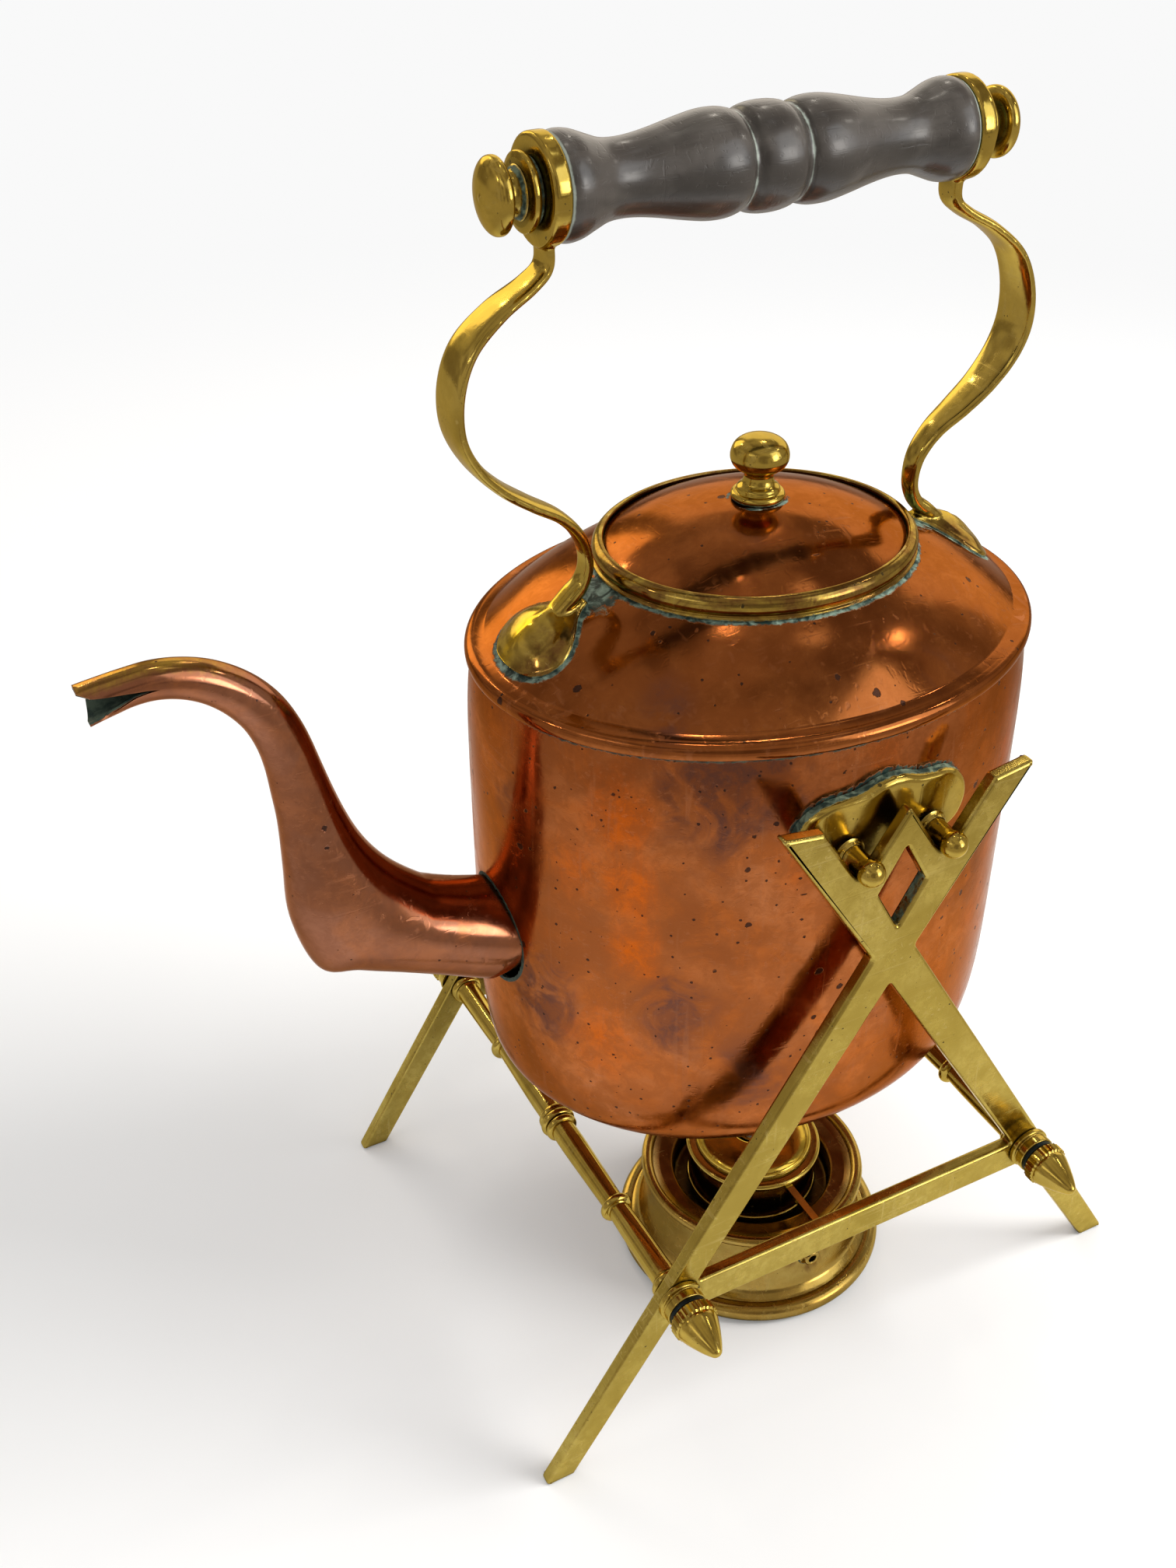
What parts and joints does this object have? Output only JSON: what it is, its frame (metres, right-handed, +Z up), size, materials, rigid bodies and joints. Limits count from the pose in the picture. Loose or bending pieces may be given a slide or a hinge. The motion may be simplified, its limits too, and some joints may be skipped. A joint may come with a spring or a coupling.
{
  "type": "spirit kettle on stand",
  "caption": "Oval copper kettle with a beaked spout and wooden grip, resting by its side pins in a brass trestle stand over a small spirit lamp.",
  "frame": {"origin": "on the ground under the middle of the whole object, spout tip to rear foot and frame to frame", "axes": "+Z is up; the spout points along -X; the front frame and the lamp's lever are on the -Y side"},
  "size_m": [0.2658, 0.1832, 0.3361],
  "materials": {
    "polished_copper": "polished",
    "polished_brass": "polished",
    "lamp_brass": "polished",
    "blued_washer": "satin",
    "worn_dark_wood": "satin",
    "wick_cotton": "matte"
  },
  "bodies": {
    "stand": {"front_frame": "polished_brass", "back_frame": "polished_brass", "spout_side_stretcher": "polished_brass", "handle_side_stretcher": "polished_brass", "stretcher_bosses": "polished_brass", "finial_washers": "blued_washer", "finial_nuts": "polished_brass"},
    "kettle": {"kettle_wall": "polished_copper", "kettle_base": "polished_copper", "kettle_shoulder": "polished_copper", "lid_ring": "polished_brass", "spout": "polished_copper", "front_trunnion_plate": "polished_brass", "back_trunnion_plate": "polished_brass", "front_trunnion_pins": "polished_brass", "back_trunnion_pins": "polished_brass", "spout_side_bracket": "polished_brass", "rear_bracket": "polished_brass", "wooden_grip": "worn_dark_wood", "grip_rod": "polished_brass", "grip_collars": "polished_brass", "grip_end_knobs": "polished_brass"},
    "lid": {"lid": "polished_copper", "lid_skirt": "polished_copper", "lid_knob": "polished_brass", "lid_knob_nut": "polished_brass"},
    "lamp": {"lamp_shell": "lamp_brass", "lamp_bottom": "lamp_brass", "lamp_cover": "lamp_brass", "burner_tube": "lamp_brass", "burner_cap": "lamp_brass", "wick": "wick_cotton", "vent_tube": "lamp_brass"},
    "regulator": {"regulator_ring": "lamp_brass", "regulator_lever": "lamp_brass"}
  },
  "joints": [
    {"name": "kettle_tilt", "type": "hinge", "parent": "stand", "child": "kettle", "pos_m": [0.0229, 0, 0.1825], "axis": [0, -1, 0], "range_deg": [0, 50]},
    {"name": "lid_lift", "type": "slide", "parent": "kettle", "child": "lid", "axis": [0, 0, 1], "range_m": [0, 0.04]},
    {"name": "lamp_slide", "type": "slide", "parent": "stand", "child": "lamp", "axis": [0, -1, 0], "range_m": [0, 0.14]},
    {"name": "regulator_turn", "type": "hinge", "parent": "lamp", "child": "regulator", "pos_m": [0.0347, -0.017, 0.03], "axis": [0, 0, 1], "range_deg": [0, 60]}
  ]
}
